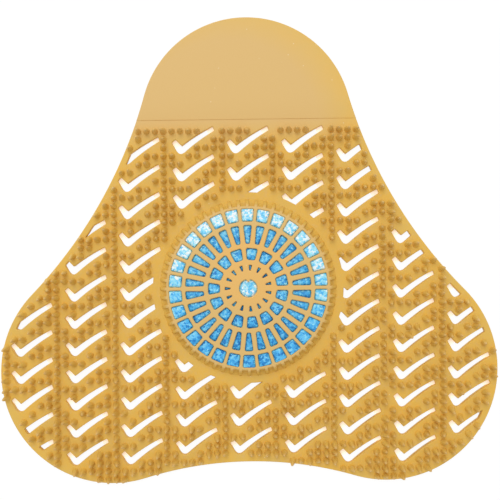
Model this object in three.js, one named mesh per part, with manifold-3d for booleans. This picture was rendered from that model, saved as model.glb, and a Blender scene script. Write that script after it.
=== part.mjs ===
import * as THREE from 'three';
import { mergeGeometries, mergeVertices } from 'three/addons/utils/BufferGeometryUtils.js';
import Module from 'manifold-3d';

// A urinal deodorizer screen: a soft three-lobed mat with drain slots and splash bristles, a round
// grille moulded in its middle, the scented block under the grille and the cover that holds it.
// Lengths are in millimetres and angles in degrees. The origin is on the underside, on the
// grille's axis. +Y runs up to the tab and +Z out of the bristled face.

// Mat outline: a tab circle and two lobe circles, joined by two flank hollows and a foot hollow.
const TAB_RADIUS = 40.5;
const TAB_CENTRE_Y = 62.9;
const LOBE_RADIUS = 42.7;
const LOBE_CENTRE_X = 52.3;
const LOBE_CENTRE_Y = -31.5;
const FLANK_HOLLOW_RADIUS = 179;
const FOOT_HOLLOW_RADIUS = 139.4;
const SHEET_THICKNESS = 2;

// The plain tab panel stands a little proud of the sheet, above a straight parting line.
const TAB_PANEL_FROM_Y = 64.3;
const TAB_PANEL_RISE = 0.2;

// Tick-shaped drain slots, in upright columns. Corners are measured from the tick's foot.
const SLOT_PITCH_X = 20.9;
const SLOT_PITCH_Y = 10.47;
const SLOT_COLUMN_X = -4.2;
const SLOT_ROW_Y = -36;
const MIDDLE_SLOT_ROW_Y = -42.7;
const MIDDLE_SLOT_COLUMNS = 3;
const SLOT_BORDER = 2.4;
const SLOT_GRILLE_BORDER = 2.7;
const SLOT_FIELD_TOP_Y = 62.2;
const SLOT_LOWEST_FOOT_Y = -70;
const SLOT_SMALLEST_AREA = 3;
const TICK_SHORT_TIP_OUTER = new THREE.Vector2(-3.45, 4.3);
const TICK_SHORT_TIP_INNER = new THREE.Vector2(-2, 5.35);
const TICK_CROTCH = new THREE.Vector2(0.3, 3);
const TICK_LONG_TIP_UPPER = new THREE.Vector2(12.15, 10.2);
const TICK_LONG_TIP_LOWER = new THREE.Vector2(12.75, 8.75);
const TICK_FOOT_LEFT = new THREE.Vector2(-1.65, 1.05);
const TICK_FOOT_RIGHT = new THREE.Vector2(1.3, 0.45);
const TICK_FOOT_DROP = 0.15;
const TICK_ARM_BOW = 0.35;

// Splash bristles: tapered pegs on a grid. The solid has a peg on every second site.
const BRISTLE_PITCH_X = 3.2;
const BRISTLE_PITCH_Y = 3.16;
const BRISTLE_COLUMN_X = 0.2;
const BRISTLE_ROW_Y = 0.1;
const BRISTLE_SITE_STEP = 2;
const BRISTLE_RADIUS = 1.1;
const BRISTLE_HEIGHT = 4.8;
const BRISTLE_LEAN = 5;
const BRISTLE_SIDES = 3;
const BRISTLE_ROOT = 0.4;
const BRISTLE_EDGE_BORDER = 1.2;
const BRISTLE_SLOT_BORDER = 1.4;
const BRISTLE_GRILLE_BORDER = 3;
const BRISTLE_FIELD_TOP_Y = 61;

// Round grille: a low dome on a ribbed side wall, open to the underside.
const GRILLE_BASE_RADIUS = 33.8;
const GRILLE_WALL = 1.5;
const GRILLE_WALL_SLOPE = 2.2;
const GRILLE_RIM_BEVEL = 0.4;
const GRILLE_RIM_HEIGHT = 6.3;
const GRILLE_CROWN = 1.1;
const CROWN_STEP = 0.5;
const GRILLE_SEGMENTS = 30;
const RIB_COUNT = 60;
const RIB_WIDTH = 1.3;
const RIB_BACKING = 0.7;
const RIB_FOOT = 0.2;

// Grille windows, ring by ring from the outside. The band is the material outside a ring, and the
// bars are the material between two of its windows, at their inner and outer ends.
const WINDOW_RINGS = [
  { count: 30, band: 1.3, length: 4.8, innerBar: 1.15, outerBar: 1.3, turn: 0 },
  { count: 30, band: 1.4, length: 7, innerBar: 1.9, outerBar: 1.7, turn: 0 },
  { count: 15, band: 1.65, length: 4.4, innerBar: 1.4, outerBar: 1.65, turn: 0.25 },
  { count: 15, band: 1.9, length: 2.05, innerBar: 2.3, outerBar: 2.45, turn: 0.25 },
];
const CENTRE_HOLE_RADIUS = 3.4;
const CENTRE_TOOTH_WIDTH = 1.6;
const CENTRE_TOOTH_LENGTH = 1.1;
const CENTRE_HOLE_SEGMENTS = 20;

// Back cover: a slotted disc whose flange snaps behind a thin lip in the mat's underside.
const FIT_GAP = 0.3;
const COVER_THICKNESS = 1.2;
const COVER_FLANGE_WIDTH = 0.9;
const COVER_FLANGE_THICKNESS = 0.5;
const COVER_SLOT_COUNT = 12;
const COVER_RIM_BAND = 4.5;
const COVER_SLOT_LENGTH = 15.5;
const COVER_BAR_WIDTH = 3.2;
const LIP_SETBACK = 2.5;

// Scented block: a low drum that fills the grille, with worn edges.
const BLOCK_EDGE = 0.8;

const ARC_TOLERANCE = 0.06;
const CUT_MARGIN = 1;
const MERGE_TOLERANCE = 1e-4;

const GRILLE_SHOULDER_RADIUS = GRILLE_BASE_RADIUS - GRILLE_WALL_SLOPE;
const GRILLE_RIM_RADIUS = GRILLE_SHOULDER_RADIUS - GRILLE_RIM_BEVEL;
const SEAT_HEIGHT = COVER_THICKNESS + FIT_GAP;
const LIP_RADIUS = GRILLE_BASE_RADIUS - LIP_SETBACK;
const LIP_THICKNESS = COVER_THICKNESS - COVER_FLANGE_THICKNESS - FIT_GAP;
const COVER_RADIUS = LIP_RADIUS - FIT_GAP;
const COVER_FLANGE_RADIUS = COVER_RADIUS + COVER_FLANGE_WIDTH;
const SEAT_RADIUS = COVER_FLANGE_RADIUS + FIT_GAP;
const CAVITY_RADIUS = GRILLE_SHOULDER_RADIUS - GRILLE_WALL;
const GRILLE_TOP = GRILLE_RIM_HEIGHT + GRILLE_CROWN;

const wasm = await Module();
wasm.setup();

function toSolid(geometry) {
  const bare = geometry.clone();
  bare.deleteAttribute('normal');
  bare.deleteAttribute('uv');
  const merged = mergeVertices(bare, MERGE_TOLERANCE);
  const mesh = new wasm.Mesh({
    numProp: 3,
    vertProperties: new Float32Array(merged.attributes.position.array),
    triVerts: new Uint32Array(merged.index.array),
  });
  return new wasm.Manifold(mesh);
}

function toMesh(name, solid, look) {
  const { vertProperties, triVerts } = solid.getMesh();
  const geometry = new THREE.BufferGeometry();
  geometry.setAttribute('position', new THREE.BufferAttribute(vertProperties, 3));
  geometry.setIndex(new THREE.BufferAttribute(triVerts, 1));
  geometry.computeVertexNormals();
  const material = new THREE.MeshStandardMaterial({ flatShading: true, ...look });
  const mesh = new THREE.Mesh(geometry, material);
  mesh.name = name;
  return mesh;
}

function turned(x, y, degrees) {
  return new THREE.Vector2(x, y).rotateAround(new THREE.Vector2(), THREE.MathUtils.degToRad(degrees));
}

// A prism of an outline between two heights.
function prism(points, bottom, top) {
  const shape = new THREE.Shape(points);
  const geometry = new THREE.ExtrudeGeometry(shape, { depth: top - bottom, bevelEnabled: false });
  return geometry.translate(0, 0, bottom);
}

// A round body from its half section, listed as [radius, height] from the bottom of the outside.
// Its facets meet on the grille's bars, clear of the windows between them.
function roundBody(section) {
  const points = section.map(([radius, height]) => new THREE.Vector2(radius, height));
  const geometry = new THREE.LatheGeometry(points, GRILLE_SEGMENTS, Math.PI / GRILLE_SEGMENTS);
  return toSolid(geometry.rotateX(Math.PI / 2));
}

// Points along an arc, close enough together to stay within the tolerance of the true circle.
function arcPoints(centre, radius, from, to) {
  const widest = 2 * Math.acos(1 - ARC_TOLERANCE / radius);
  const steps = Math.max(2, Math.ceil(Math.abs(to - from) / widest));
  return Array.from({ length: steps }, (_, step) => {
    const angle = from + ((to - from) * step) / steps;
    return new THREE.Vector2(centre.x + radius * Math.cos(angle), centre.y + radius * Math.sin(angle));
  });
}

// The centre of the hollow that touches the tab circle and the right lobe circle from outside.
function flankCentre(tab, lobe) {
  const toTab = TAB_RADIUS + FLANK_HOLLOW_RADIUS;
  const toLobe = LOBE_RADIUS + FLANK_HOLLOW_RADIUS;
  const span = lobe.clone().sub(tab);
  const length = span.length();
  const along = (toTab ** 2 - toLobe ** 2 + length ** 2) / (2 * length);
  const across = Math.sqrt(toTab ** 2 - along ** 2);
  const direction = span.normalize();
  return new THREE.Vector2(
    tab.x + direction.x * along - direction.y * across,
    tab.y + direction.y * along + direction.x * across,
  );
}

// The mat's outline, moved inwards by an inset, counter-clockwise from the tab's right side.
function outlinePoints(inset) {
  const tab = new THREE.Vector2(0, TAB_CENTRE_Y);
  const lobe = new THREE.Vector2(LOBE_CENTRE_X, LOBE_CENTRE_Y);
  const leftLobe = new THREE.Vector2(-LOBE_CENTRE_X, LOBE_CENTRE_Y);
  const flank = flankCentre(tab, lobe);
  const leftFlank = new THREE.Vector2(-flank.x, flank.y);
  const footDrop = Math.sqrt((LOBE_RADIUS + FOOT_HOLLOW_RADIUS) ** 2 - LOBE_CENTRE_X ** 2);
  const foot = new THREE.Vector2(0, LOBE_CENTRE_Y - footDrop);
  const tabEnd = Math.atan2(flank.y - tab.y, flank.x - tab.x);
  const lobeEnd = Math.atan2(flank.y - lobe.y, flank.x - lobe.x);
  const footEnd = Math.atan2(foot.y - lobe.y, foot.x - lobe.x);
  const tabRadius = TAB_RADIUS - inset;
  const lobeRadius = LOBE_RADIUS - inset;
  const flankRadius = FLANK_HOLLOW_RADIUS + inset;
  const footRadius = FOOT_HOLLOW_RADIUS + inset;
  return [
    ...arcPoints(tab, tabRadius, tabEnd, Math.PI - tabEnd),
    ...arcPoints(leftFlank, flankRadius, -tabEnd, -lobeEnd),
    ...arcPoints(leftLobe, lobeRadius, Math.PI - lobeEnd, Math.PI - footEnd),
    ...arcPoints(foot, footRadius, -footEnd, Math.PI + footEnd),
    ...arcPoints(lobe, lobeRadius, footEnd, lobeEnd),
    ...arcPoints(flank, flankRadius, Math.PI + lobeEnd, Math.PI + tabEnd),
  ];
}

function contains(polygon, point) {
  let inside = false;
  polygon.forEach((a, index) => {
    const b = polygon[(index + 1) % polygon.length];
    const crosses = a.y > point.y !== b.y > point.y;
    if (crosses && point.x < a.x + ((b.x - a.x) * (point.y - a.y)) / (b.y - a.y)) {
      inside = !inside;
    }
  });
  return inside;
}

function distanceTo(polygon, point) {
  const nearest = new THREE.Vector3();
  const target = new THREE.Vector3(point.x, point.y, 0);
  const distances = polygon.map((a, index) => {
    const b = polygon[(index + 1) % polygon.length];
    const side = new THREE.Line3(new THREE.Vector3(a.x, a.y, 0), new THREE.Vector3(b.x, b.y, 0));
    return side.closestPointToPoint(target, true, nearest).distanceTo(target);
  });
  return Math.min(...distances);
}

// One tick, with a rounded foot and a long arm that bows upwards.
function tickPoints() {
  const foot = new THREE.Vector2(
    (TICK_FOOT_LEFT.x + TICK_FOOT_RIGHT.x) / 2 + TICK_FOOT_DROP,
    -TICK_FOOT_DROP,
  );
  const bowed = (from, to) => {
    const arm = to.clone().sub(from);
    const rise = new THREE.Vector2(-arm.y, arm.x).normalize().multiplyScalar(TICK_ARM_BOW);
    return from.clone().lerp(to, 0.5).add(rise);
  };
  const lowerBow = bowed(TICK_FOOT_RIGHT, TICK_LONG_TIP_LOWER);
  const upperBow = bowed(TICK_CROTCH, TICK_LONG_TIP_UPPER);
  return [
    TICK_SHORT_TIP_OUTER,
    TICK_FOOT_LEFT,
    foot,
    TICK_FOOT_RIGHT,
    lowerBow,
    TICK_LONG_TIP_LOWER,
    TICK_LONG_TIP_UPPER,
    upperBow,
    TICK_CROTCH,
    TICK_SHORT_TIP_INNER,
  ];
}

// Every tick outline on the slot grid between the mat's foot and the plain band of the tab.
function tickOutlines(box) {
  const tick = tickPoints();
  const columns = Math.ceil(box.max.x / SLOT_PITCH_X);
  const rows = Math.ceil((box.max.y - box.min.y) / SLOT_PITCH_Y);
  const outlines = [];
  for (let column = -columns; column <= columns; column += 1) {
    const middle = Math.abs(column) <= (MIDDLE_SLOT_COLUMNS - 1) / 2;
    const firstY = middle ? MIDDLE_SLOT_ROW_Y : SLOT_ROW_Y;
    for (let row = -rows; row <= rows; row += 1) {
      const at = new THREE.Vector2(SLOT_COLUMN_X + column * SLOT_PITCH_X, firstY + row * SLOT_PITCH_Y);
      const isClearOfTab = at.y + TICK_LONG_TIP_UPPER.y <= SLOT_FIELD_TOP_Y;
      if (isClearOfTab && at.y >= SLOT_LOWEST_FOOT_Y) {
        outlines.push(tick.map((corner) => corner.clone().add(at)));
      }
    }
  }
  return outlines;
}

function circlePoints(radius) {
  return Array.from({ length: GRILLE_SEGMENTS }, (_, index) => (
    turned(radius, 0, (360 * index) / GRILLE_SEGMENTS)
  ));
}

// The part of the sheet that slots may cut: inside a plain border and outside the grille.
function slotField() {
  const bottom = -CUT_MARGIN;
  const top = SHEET_THICKNESS + CUT_MARGIN;
  const inside = toSolid(prism(outlinePoints(SLOT_BORDER), bottom, top));
  const hub = circlePoints(GRILLE_BASE_RADIUS + SLOT_GRILLE_BORDER);
  return inside.subtract(toSolid(prism(hub, bottom - CUT_MARGIN, top + CUT_MARGIN)));
}

// Cuts the ticks to the field and gives back the cutters and the outlines that are left.
function drainSlots(box) {
  const field = slotField();
  const depth = SHEET_THICKNESS + 2 * CUT_MARGIN;
  const cutters = [];
  const outlines = [];
  tickOutlines(box).forEach((outline) => {
    const bar = toSolid(prism(outline, -CUT_MARGIN, SHEET_THICKNESS + CUT_MARGIN));
    const pieces = bar.intersect(field).decompose();
    const large = pieces.filter((piece) => piece.volume() >= SLOT_SMALLEST_AREA * depth);
    if (large.length > 0) {
      cutters.push(...large);
      outlines.push(outline);
    }
  });
  return { cutters, outlines };
}

function bristle(x, y) {
  const length = BRISTLE_HEIGHT + BRISTLE_ROOT;
  const peg = new THREE.ConeGeometry(BRISTLE_RADIUS, length, BRISTLE_SIDES);
  peg.rotateX(Math.PI / 2);
  peg.translate(0, 0, length / 2 - BRISTLE_ROOT);
  peg.rotateX(THREE.MathUtils.degToRad(BRISTLE_LEAN));
  return peg.translate(x, y, SHEET_THICKNESS);
}

// Bristles stand clear of the edge, the slots, the grille and the tab's plain band.
function bristleField(box, slots) {
  const border = outlinePoints(BRISTLE_EDGE_BORDER);
  const columns = Math.ceil(box.max.x / BRISTLE_PITCH_X);
  const rows = Math.ceil((box.max.y - box.min.y) / BRISTLE_PITCH_Y);
  const pegs = [];
  for (let column = -columns; column <= columns; column += 1) {
    for (let row = -rows; row <= rows; row += 1) {
      const at = new THREE.Vector2(
        BRISTLE_COLUMN_X + column * BRISTLE_PITCH_X,
        BRISTLE_ROW_Y + row * BRISTLE_PITCH_Y,
      );
      const isSite = (column + row) % BRISTLE_SITE_STEP === 0;
      const clearOfGrille = at.length() >= GRILLE_BASE_RADIUS + BRISTLE_GRILLE_BORDER;
      if (isSite && clearOfGrille && at.y <= BRISTLE_FIELD_TOP_Y && contains(border, at)) {
        const blocked = slots.some((slot) => (
          contains(slot, at) || distanceTo(slot, at) < BRISTLE_SLOT_BORDER
        ));
        if (!blocked) {
          pegs.push(bristle(at.x, at.y));
        }
      }
    }
  }
  return toSolid(mergeGeometries(pegs));
}

// How far the dome has risen above its rim, at a share of the rim's radius from the axis.
function crownRise(share) {
  return GRILLE_CROWN * (1 - share ** 2);
}

// The side wall and the domed top plate, with the pocket for the block and the cover inside.
function grilleShell() {
  const shoulder = GRILLE_RIM_HEIGHT - GRILLE_RIM_BEVEL;
  const underRim = GRILLE_RIM_HEIGHT - GRILLE_WALL;
  return roundBody([
    [0, 0],
    [GRILLE_BASE_RADIUS, 0],
    [GRILLE_BASE_RADIUS, SHEET_THICKNESS],
    [GRILLE_SHOULDER_RADIUS, shoulder],
    [GRILLE_RIM_RADIUS, GRILLE_RIM_HEIGHT],
    [GRILLE_RIM_RADIUS * CROWN_STEP, GRILLE_RIM_HEIGHT + crownRise(CROWN_STEP)],
    [0, GRILLE_TOP],
  ]).subtract(roundBody([
    [0, -CUT_MARGIN],
    [LIP_RADIUS, -CUT_MARGIN],
    [LIP_RADIUS, LIP_THICKNESS],
    [SEAT_RADIUS, LIP_THICKNESS],
    [SEAT_RADIUS, SEAT_HEIGHT],
    [CAVITY_RADIUS, SEAT_HEIGHT],
    [CAVITY_RADIUS, underRim],
    [GRILLE_RIM_RADIUS * CROWN_STEP, underRim + crownRise(CROWN_STEP)],
    [0, GRILLE_TOP - GRILLE_WALL],
  ]));
}

// Upright grooves in the side wall leave the ribs between them, with a thin backing behind.
function ribGrooves() {
  const pitch = 360 / RIB_COUNT;
  const middleRadius = (GRILLE_BASE_RADIUS + GRILLE_SHOULDER_RADIUS) / 2;
  const width = 2 * middleRadius * Math.sin(THREE.MathUtils.degToRad(pitch / 2)) - RIB_WIDTH;
  const bottom = SHEET_THICKNESS + RIB_FOOT;
  const top = GRILLE_TOP + CUT_MARGIN;
  const innerRadius = CAVITY_RADIUS + RIB_BACKING;
  const length = GRILLE_BASE_RADIUS + CUT_MARGIN - innerRadius;
  return Array.from({ length: RIB_COUNT }, (_, index) => {
    const groove = new THREE.BoxGeometry(length, width, top - bottom);
    groove.translate(innerRadius + length / 2, 0, (top + bottom) / 2);
    return groove.rotateZ(THREE.MathUtils.degToRad(pitch * (index + 0.5)));
  });
}

// One ring of tapered windows. Its first window is turned by a share of the pitch from +Y.
function windowRing({ count, outerRadius, length, innerBar, outerBar, turn }) {
  const innerRadius = outerRadius - length;
  const pitch = 360 / count;
  const halfWidth = (radius, bar) => (
    radius * Math.sin(THREE.MathUtils.degToRad(pitch / 2)) - bar / 2
  );
  const inner = halfWidth(innerRadius, innerBar);
  const outer = halfWidth(outerRadius, outerBar);
  return Array.from({ length: count }, (_, index) => {
    const angle = 90 - pitch * (index + turn);
    return prism([
      turned(innerRadius, -inner, angle),
      turned(outerRadius, -outer, angle),
      turned(outerRadius, outer, angle),
      turned(innerRadius, inner, angle),
    ], SEAT_HEIGHT, GRILLE_TOP + CUT_MARGIN);
  });
}

// The centre hole has one small tooth, which points down from its upper edge.
function centreHole() {
  const halfTooth = Math.asin(CENTRE_TOOTH_WIDTH / 2 / CENTRE_HOLE_RADIUS);
  const from = Math.PI / 2 + halfTooth;
  const to = Math.PI / 2 - halfTooth + 2 * Math.PI;
  const points = Array.from({ length: CENTRE_HOLE_SEGMENTS + 1 }, (_, index) => {
    const angle = from + ((to - from) * index) / CENTRE_HOLE_SEGMENTS;
    return new THREE.Vector2(Math.cos(angle), Math.sin(angle)).multiplyScalar(CENTRE_HOLE_RADIUS);
  });
  points.push(new THREE.Vector2(0, CENTRE_HOLE_RADIUS - CENTRE_TOOTH_LENGTH));
  return prism(points, SEAT_HEIGHT, GRILLE_TOP + CUT_MARGIN);
}

function grille() {
  const cutters = [centreHole()];
  let outerRadius = GRILLE_RIM_RADIUS;
  WINDOW_RINGS.forEach((ring) => {
    outerRadius -= ring.band;
    cutters.push(...windowRing({ ...ring, outerRadius }));
    outerRadius -= ring.length;
  });
  const windows = mergeGeometries(cutters);
  const grooves = mergeGeometries(ribGrooves());
  return grilleShell().subtract(toSolid(windows)).subtract(toSolid(grooves));
}

function tabPanel(outline, box) {
  const top = SHEET_THICKNESS + TAB_PANEL_RISE;
  const panel = toSolid(prism(outline, SHEET_THICKNESS / 2, top));
  const height = box.max.y - TAB_PANEL_FROM_Y + CUT_MARGIN;
  const reach = new THREE.BoxGeometry(2 * box.max.x, height, 2 * top);
  return panel.intersect(toSolid(reach.translate(0, TAB_PANEL_FROM_Y + height / 2, top)));
}

function screenSolid() {
  const outline = outlinePoints(0);
  const box = new THREE.Box2().setFromPoints(outline);
  const slots = drainSlots(box);
  const hub = circlePoints((SEAT_RADIUS + GRILLE_BASE_RADIUS) / 2);
  let sheet = toSolid(prism(outline, 0, SHEET_THICKNESS));
  sheet = sheet.subtract(toSolid(prism(hub, -CUT_MARGIN, SHEET_THICKNESS + CUT_MARGIN)));
  slots.cutters.forEach((cutter) => {
    sheet = sheet.subtract(cutter);
  });
  return sheet
    .add(tabPanel(outline, box))
    .add(bristleField(box, slots.outlines))
    .add(grille());
}

function blockSolid() {
  const radius = CAVITY_RADIUS - FIT_GAP;
  const rim = GRILLE_RIM_HEIGHT - GRILLE_WALL - FIT_GAP;
  return roundBody([
    [0, SEAT_HEIGHT],
    [radius - BLOCK_EDGE, SEAT_HEIGHT],
    [radius, SEAT_HEIGHT + BLOCK_EDGE],
    [radius, rim - BLOCK_EDGE],
    [radius - BLOCK_EDGE, rim],
    [GRILLE_RIM_RADIUS * CROWN_STEP, rim + crownRise(CROWN_STEP)],
    [0, rim + crownRise(0)],
  ]);
}

function coverSolid() {
  const flangeBottom = COVER_THICKNESS - COVER_FLANGE_THICKNESS;
  const disc = roundBody([
    [0, 0],
    [COVER_RADIUS, 0],
    [COVER_RADIUS, flangeBottom],
    [COVER_FLANGE_RADIUS, flangeBottom],
    [COVER_FLANGE_RADIUS, COVER_THICKNESS],
    [0, COVER_THICKNESS],
  ]);
  const slots = windowRing({
    count: COVER_SLOT_COUNT,
    outerRadius: COVER_RADIUS - COVER_RIM_BAND,
    length: COVER_SLOT_LENGTH,
    innerBar: COVER_BAR_WIDTH,
    outerBar: COVER_BAR_WIDTH,
    turn: 0.5,
  });
  const cutters = slots.map((slot) => slot.translate(0, 0, -SEAT_HEIGHT - CUT_MARGIN));
  return disc.subtract(toSolid(mergeGeometries(cutters)));
}

const screen = new THREE.Group();
screen.add(
  toMesh('screen', screenSolid(), { color: 0xd8a850, roughness: 0.55, metalness: 0 }),
  toMesh('deodorant_block', blockSolid(), { color: 0x35a0e4, roughness: 0.4, metalness: 0 }),
  toMesh('back_cover', coverSolid(), { color: 0xcb9c48, roughness: 0.5, metalness: 0 }),
);

export default screen;
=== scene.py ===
"""Looks of a urinal deodorizer screen: a soft gold mat with drain slots and splash bristles, its
round grille, the blue scented block under it and the cover behind it. Lengths are in metres."""

import math

import bmesh
import bpy
from mathutils import Matrix, Vector, noise
from mathutils.geometry import delaunay_2d_cdt


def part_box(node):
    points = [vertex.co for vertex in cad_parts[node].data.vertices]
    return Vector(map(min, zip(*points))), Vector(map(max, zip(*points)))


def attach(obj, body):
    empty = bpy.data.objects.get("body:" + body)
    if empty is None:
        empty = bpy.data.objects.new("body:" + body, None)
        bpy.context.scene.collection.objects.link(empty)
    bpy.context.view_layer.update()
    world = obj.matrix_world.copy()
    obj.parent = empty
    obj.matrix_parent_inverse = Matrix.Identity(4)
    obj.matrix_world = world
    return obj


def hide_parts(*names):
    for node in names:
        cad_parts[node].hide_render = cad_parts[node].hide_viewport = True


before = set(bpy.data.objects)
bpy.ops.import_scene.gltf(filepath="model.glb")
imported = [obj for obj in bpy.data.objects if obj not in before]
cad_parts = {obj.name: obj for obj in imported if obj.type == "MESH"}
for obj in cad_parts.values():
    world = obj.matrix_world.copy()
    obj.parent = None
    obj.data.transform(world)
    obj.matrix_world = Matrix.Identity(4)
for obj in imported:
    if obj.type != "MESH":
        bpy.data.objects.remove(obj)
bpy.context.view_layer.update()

bl_info = {
    "name": "Urinal deodorizer screen",
    "version": (1, 0, 0),
    "blender": (4, 5, 0),
    "location": "3D View > Sidebar > Screen",
    "description": "Dresses the packed mat with its slots, bristles, grille and scented block",
    "category": "Object",
}

MM = 0.001
BODY = "root"

# Mat outline: a tab circle and two lobe circles, joined by two flank hollows and a foot hollow.
TAB_CENTRE = Vector((0, 62.9)) * MM
TAB_RADIUS = 40.5 * MM
LOBE_CENTRE = Vector((52.3, -31.5)) * MM
LOBE_RADIUS = 42.7 * MM
FLANK_RADIUS = 179 * MM
FOOT_RADIUS = 139.4 * MM
OUTLINE_STEP = 1.6 * MM

# Tick-shaped slot, measured from its foot, and the grid that it repeats on.
TICK_SHORT_TIP = (Vector((-3.45, 4.25)) * MM, Vector((-2.05, 5.4)) * MM)
TICK_LONG_TIP = (Vector((12.75, 8.7)) * MM, Vector((12.15, 10.25)) * MM)
TICK_FOOT = (Vector((-1.75, 1.2)) * MM, Vector((-0.43, -0.95)) * MM, Vector((1.45, 0.6)) * MM)
TICK_CROTCH = Vector((0.3, 2.95)) * MM
TICK_BOW = 0.35 * MM
SLOT_CORNER = 0.3 * MM
SLOT_PITCH = Vector((20.9, 10.47)) * MM
SLOT_COLUMN_X = -4.2 * MM
SLOT_ROW_Y = -36 * MM
MIDDLE_SLOT_ROW_Y = -42.7 * MM
SLOT_BORDER = 2.4 * MM
SLOT_FIELD_RADIUS = 36.5 * MM
SLOT_FIELD_TOP = 62.2 * MM
SLOT_LOWEST_FOOT = -70 * MM
SLOT_SMALLEST_AREA = 3 * MM * MM

# Feathered slot ends: their length, and their thickness at the root as a share of the sheet's.
FEATHER_LENGTH = 2.6 * MM
FEATHER_SHARE = 0.6

# Grille windows, ring by ring and in millimetres: how many, inner and outer radius, the bars'
# width at both ends, the corners' radius and the first window's turn from +Y, in pitches.
WINDOW_RINGS = (
    (30, 25.1, 29.9, 1.15, 1.3, 0.65, 0),
    (30, 16.7, 23.7, 1.9, 1.7, 0.75, 0),
    (15, 10.65, 15.05, 1.4, 1.65, 0.85, 0.25),
    (15, 6.7, 8.75, 2.3, 2.45, 0.25, 0.25),
)
GRILLE_SEGMENTS = 180

# The grille's wall stands in a hole of the sheet, and the cover sits in a pocket in its foot, where
# its flange snaps in above a thin lip.
WALL_FOOT_RADIUS = 33 * MM
POCKET_RADIUS = 32.2 * MM
POCKET_TOP = 1.5 * MM
SNAP_LIP = 0.4 * MM
FLANGE_BOTTOM = 0.7 * MM

# The cover's slots, given like a ring of grille windows and in millimetres too.
COVER_SLOTS = (12, 11, 26.5, 3.2, 3.2, 0.8, 0.5)


def linear(hex_colour):
    """An sRGB hex colour as linear red, green, blue and alpha."""
    parts = [int(hex_colour[i:i + 2], 16) / 255 for i in (1, 3, 5)]
    return (*[p / 12.92 if p <= 0.04045 else ((p + 0.055) / 1.055) ** 2.4 for p in parts], 1.0)


def length_property(name, description, millimetres):
    """A length in a property group, with its default given in millimetres."""
    return bpy.props.FloatProperty(
        name=name, description=description, default=millimetres * MM, min=0,
        subtype="DISTANCE", unit="LENGTH", precision=5)


def colour_property(name, description, hex_colour):
    """A colour in a property group, with its default given as sRGB hex."""
    return bpy.props.FloatVectorProperty(
        name=name, description=description, default=linear(hex_colour), size=4,
        min=0, max=1, subtype="COLOR")


class MatSizes(bpy.types.PropertyGroup):
    """Sizes of the moulded sheet."""
    thickness: length_property("Thickness", "Thickness of the sheet", 2)
    edge: length_property("Edge radius", "Rounding of the sheet's upper edges", 0.35)
    under_edge: length_property("Under edge radius", "Rounding of the lower edges", 0.15)
    tab_from: length_property("Tab line", "Height on the mat where the tab's panel begins", 64.3)
    tab_rise: length_property("Tab rise", "How far the tab's panel stands above the sheet", 0.2)


class BristleSizes(bpy.types.PropertyGroup):
    """Sizes of the splash bristles."""
    pitch_x: length_property("Pitch across", "Spacing of the bristles' columns", 3.2)
    pitch_y: length_property("Pitch along", "Spacing of the bristles' rows", 3.16)
    column_x: length_property("Column place", "Distance of a column from the mat's middle", 0.2)
    row_y: length_property("Row place", "Distance of a row from the grille's middle", 0.1)
    base_radius: length_property("Base radius", "Radius of a bristle at the sheet", 1.3)
    tip_radius: length_property("Tip radius", "Radius of a bristle near its tip", 0.38)
    height: length_property("Height", "Height of a bristle above the sheet", 4.8)
    edge_border: length_property("Edge border", "From a bristle's axis to the mat's edge", 1.2)
    slot_border: length_property("Slot border", "From a bristle's axis to a slot", 1.4)
    grille_radius: length_property("Grille border", "Bare radius round the grille", 36.8)
    top: length_property("Top row limit", "Highest row on the mat", 61)
    lean: bpy.props.FloatProperty(
        name="Lean", description="How far all bristles lean towards the mat's foot",
        default=math.radians(4), subtype="ANGLE", unit="ROTATION")
    spread: bpy.props.FloatProperty(
        name="Spread", description="How far a single bristle strays from the others",
        default=math.radians(7), subtype="ANGLE", unit="ROTATION")
    seed: bpy.props.IntProperty(name="Seed", description="Seed of the spread", default=7)


class GrilleSizes(bpy.types.PropertyGroup):
    """Sizes of the round grille, the block and the cover behind it."""
    base_radius: length_property("Base radius", "Radius of the side wall at the sheet", 33.8)
    rim_radius: length_property("Rim radius", "Radius of the top plate", 31.1)
    backing_radius: length_property("Backing radius", "Outside of the wall behind the ribs", 30.8)
    cavity_radius: length_property("Cavity radius", "Inside of the side wall", 30.1)
    rim_height: length_property("Rim height", "Height of the top plate's rim", 6.3)
    crown: length_property("Crown", "Rise of the top plate from its rim to its middle", 1.05)
    wall: length_property("Wall", "Thickness of the top plate", 1)
    bar_edge: length_property("Bar edge", "Rounding of the bars", 0.4)
    centre_hole: length_property("Centre hole", "Radius of the hole in the middle", 3.4)
    rib_width: length_property("Rib width", "Width of a side rib", 1.3)
    rib_count: bpy.props.IntProperty(
        name="Ribs", description="Number of ribs round the side wall", default=60, min=3)
    block_radius: length_property("Block radius", "Radius of the scented block", 30)
    granule: length_property("Granule", "Width of one granule of the scented block", 0.75)
    lip_radius: length_property("Lip radius", "Opening in the mat's underside", 31.3)


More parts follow.
